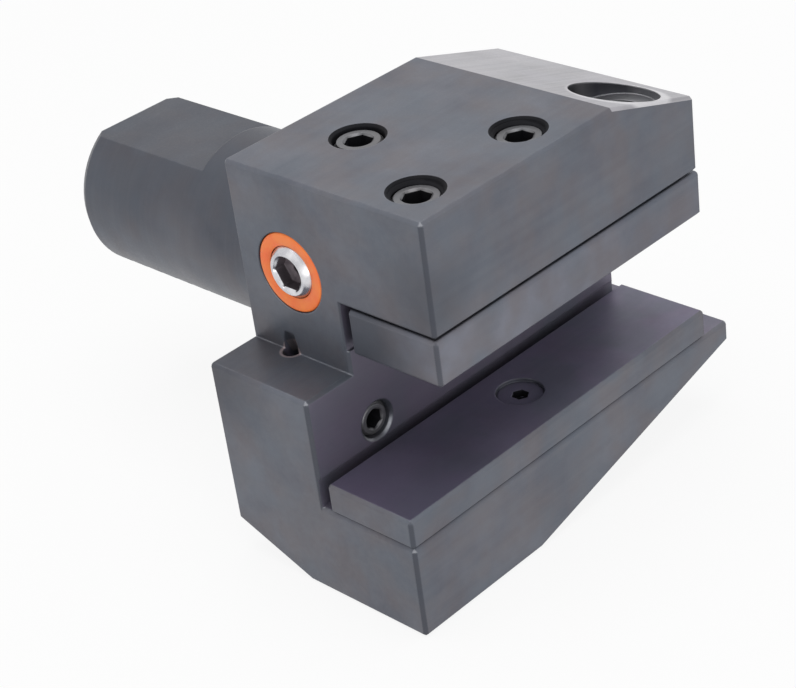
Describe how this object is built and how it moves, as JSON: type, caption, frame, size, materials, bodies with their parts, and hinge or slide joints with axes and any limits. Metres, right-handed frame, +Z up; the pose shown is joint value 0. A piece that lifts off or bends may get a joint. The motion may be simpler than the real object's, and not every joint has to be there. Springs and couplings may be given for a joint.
{
  "type": "turret tool holder",
  "caption": "Round toothed shank carrying a square open tool seat, with a screwed clamp bar, a packing plate and an aimable ball nozzle for coolant.",
  "frame": {"origin": "on the shank's axis, at the seating face that meets the turret", "axes": "+X along the shank's axis out of the turret towards the tool seat, +Y along the tool slot, +Z up towards the heads of the clamp screws"},
  "size_m": [0.095, 0.0765, 0.065],
  "materials": {
    "blackened_steel": "hardened steel, ground and blackened, satin",
    "screw_steel": "blackened screws",
    "spring_steel": "spring steel, oiled",
    "bright_steel": "bright turned steel",
    "orange_plastic": "moulded plastic, satin",
    "seal_rubber": "smooth rubber"
  },
  "bodies": {
    "holder": {"holder_body": "blackened_steel", "packing_plate": "blackened_steel", "plate_screw": "screw_steel", "riser_plug": "screw_steel", "port_plug": "screw_steel", "cross_plug": "screw_steel", "nozzle_seal": "seal_rubber", "shank_seal": "seal_rubber", "port_seal": "seal_rubber"},
    "bar": {"clamp_bar": "blackened_steel", "snap_ring_1": "spring_steel", "snap_ring_2": "spring_steel", "snap_ring_3": "spring_steel"},
    "screw_1": {"clamp_screw_1": "screw_steel"},
    "screw_2": {"clamp_screw_2": "screw_steel"},
    "screw_3": {"clamp_screw_3": "screw_steel"},
    "collar": {"nozzle_collar": "orange_plastic"},
    "ball": {"nozzle_ball": "bright_steel"}
  },
  "joints": [
    {"name": "bar_slide", "type": "slide", "parent": "holder", "child": "bar", "axis": [0, 0, -1], "range_m": [0, 0.004]},
    {"name": "screw_1_turn", "type": "hinge", "parent": "bar", "child": "screw_1", "pos_m": [0.0323, -0.0181, 0.018], "axis": [0, 0, -1], "range_deg": [0, 1153]},
    {"name": "screw_2_turn", "type": "hinge", "parent": "bar", "child": "screw_2", "pos_m": [0.0323, 0.0039, 0.018], "axis": [0, 0, -1], "range_deg": [0, 1153]},
    {"name": "screw_3_turn", "type": "hinge", "parent": "bar", "child": "screw_3", "pos_m": [0.0323, 0.0259, 0.014], "axis": [0, 0, -1], "range_deg": [0, 1153]},
    {"name": "collar_turn", "type": "hinge", "parent": "holder", "child": "collar", "pos_m": [0.0111, -0.0225, 0.012], "axis": [0, -1, 0], "continuous": true},
    {"name": "ball_tilt", "type": "hinge", "parent": "collar", "child": "ball", "pos_m": [0.0111, -0.0225, 0.012], "axis": [0, 0, 1], "range_deg": [-15, 15]}
  ],
  "couplings": [
    {"joint": "screw_1_turn", "follows": "bar_slide", "rad_per_m": 5026.5},
    {"joint": "screw_2_turn", "follows": "bar_slide", "rad_per_m": 5026.5},
    {"joint": "screw_3_turn", "follows": "bar_slide", "rad_per_m": 5026.5}
  ]
}
